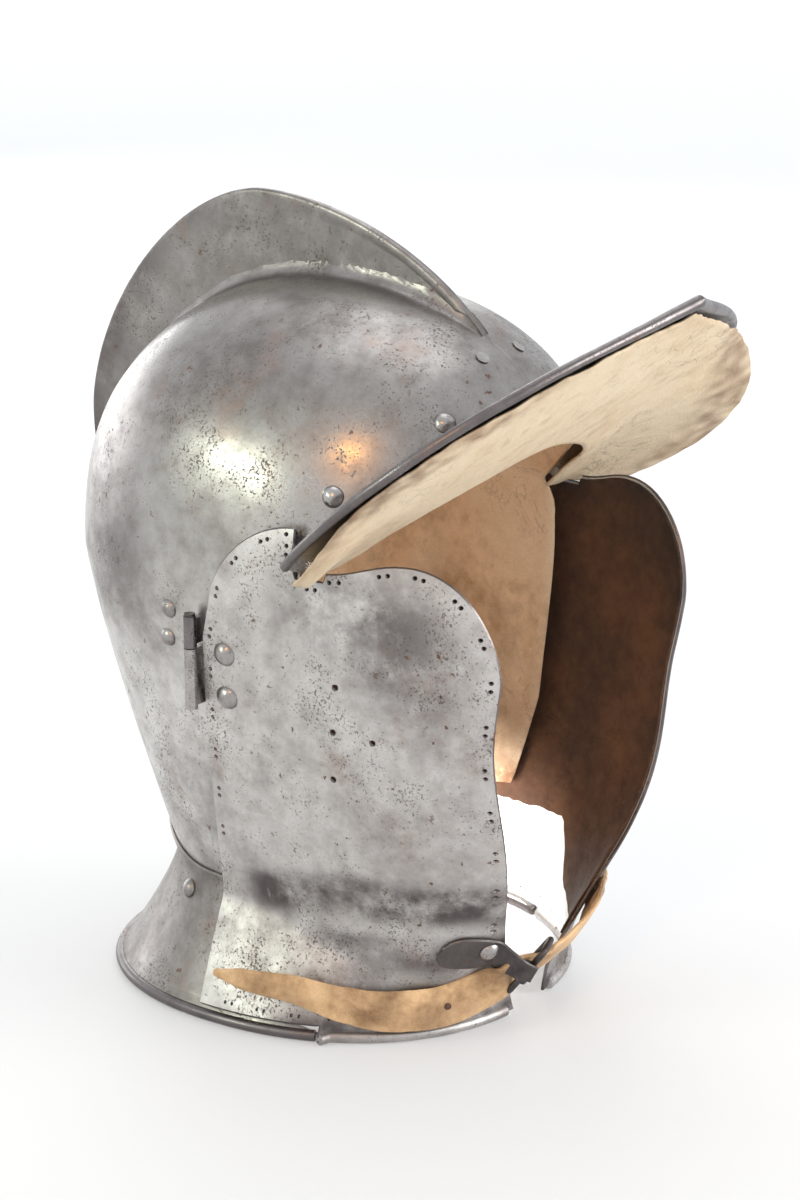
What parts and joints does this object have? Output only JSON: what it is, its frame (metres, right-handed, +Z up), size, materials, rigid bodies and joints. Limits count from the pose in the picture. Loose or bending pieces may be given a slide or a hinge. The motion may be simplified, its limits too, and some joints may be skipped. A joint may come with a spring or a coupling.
{
  "type": "combed helmet with hinged cheek plates",
  "caption": "Open-faced steel helmet with a tall comb, a flared peak, hinged cheek plates, a flared neck rim and a leather chin strap.",
  "frame": {"origin": "on the table under the middle of the helmet's whole width and depth; the neck rim rests on z = 0", "axes": "+Z up to the comb, -Y forwards out of the face opening, +X to the wearer's left"},
  "size_m": [0.2124, 0.2773, 0.3002],
  "materials": {
    "steel": "worn, pitted, half polished",
    "dark_iron": "blackened",
    "tan_leather": "old suede",
    "cream_leather": "cracked and stained",
    "brown_leather": "dark and dull"
  },
  "bodies": {
    "skull": {"skull_right": "steel", "skull_left": "steel", "seam_tab": "steel", "seam_rivets": "steel", "peak": "steel", "peak_rivets": "steel", "peak_lining": "cream_leather", "skull_lining": "tan_leather", "nape_plate": "steel", "nape_rivets": "steel", "skull_hinge_leaf_right": "steel", "skull_hinge_leaf_left": "steel", "skull_hinge_rivets": "steel", "hinge_pin_right": "steel", "hinge_pin_left": "steel"},
    "right_cheek": {"cheek_plate_right": "steel", "cheek_lining_right": "brown_leather", "cheek_hinge_leaf_right": "steel", "cheek_hinge_rivets_right": "steel", "buckle_chape": "dark_iron", "chape_rivet": "steel", "strap_tail": "tan_leather"},
    "ring": {"buckle_ring": "dark_iron"},
    "left_cheek": {"cheek_plate_left": "steel", "cheek_lining_left": "brown_leather", "cheek_hinge_leaf_left": "steel", "cheek_hinge_rivets_left": "steel", "chin_strap": "tan_leather", "strap_rivet": "steel"}
  },
  "joints": [
    {"name": "right_cheek_hinge", "type": "hinge", "parent": "skull", "child": "right_cheek", "pos_m": [-0.09, 0.0186, 0.1435], "axis": [0, 0, -1], "range_deg": [0, 65]},
    {"name": "left_cheek_hinge", "type": "hinge", "parent": "skull", "child": "left_cheek", "pos_m": [0.09, 0.0186, 0.1435], "axis": [0, 0, 1], "range_deg": [0, 65]},
    {"name": "ring_swing", "type": "hinge", "parent": "right_cheek", "child": "ring", "pos_m": [-0.0241, -0.0841, 0.0247], "axis": [0.1483, -0.5934, 0.7911], "range_deg": [-2, 4]}
  ]
}
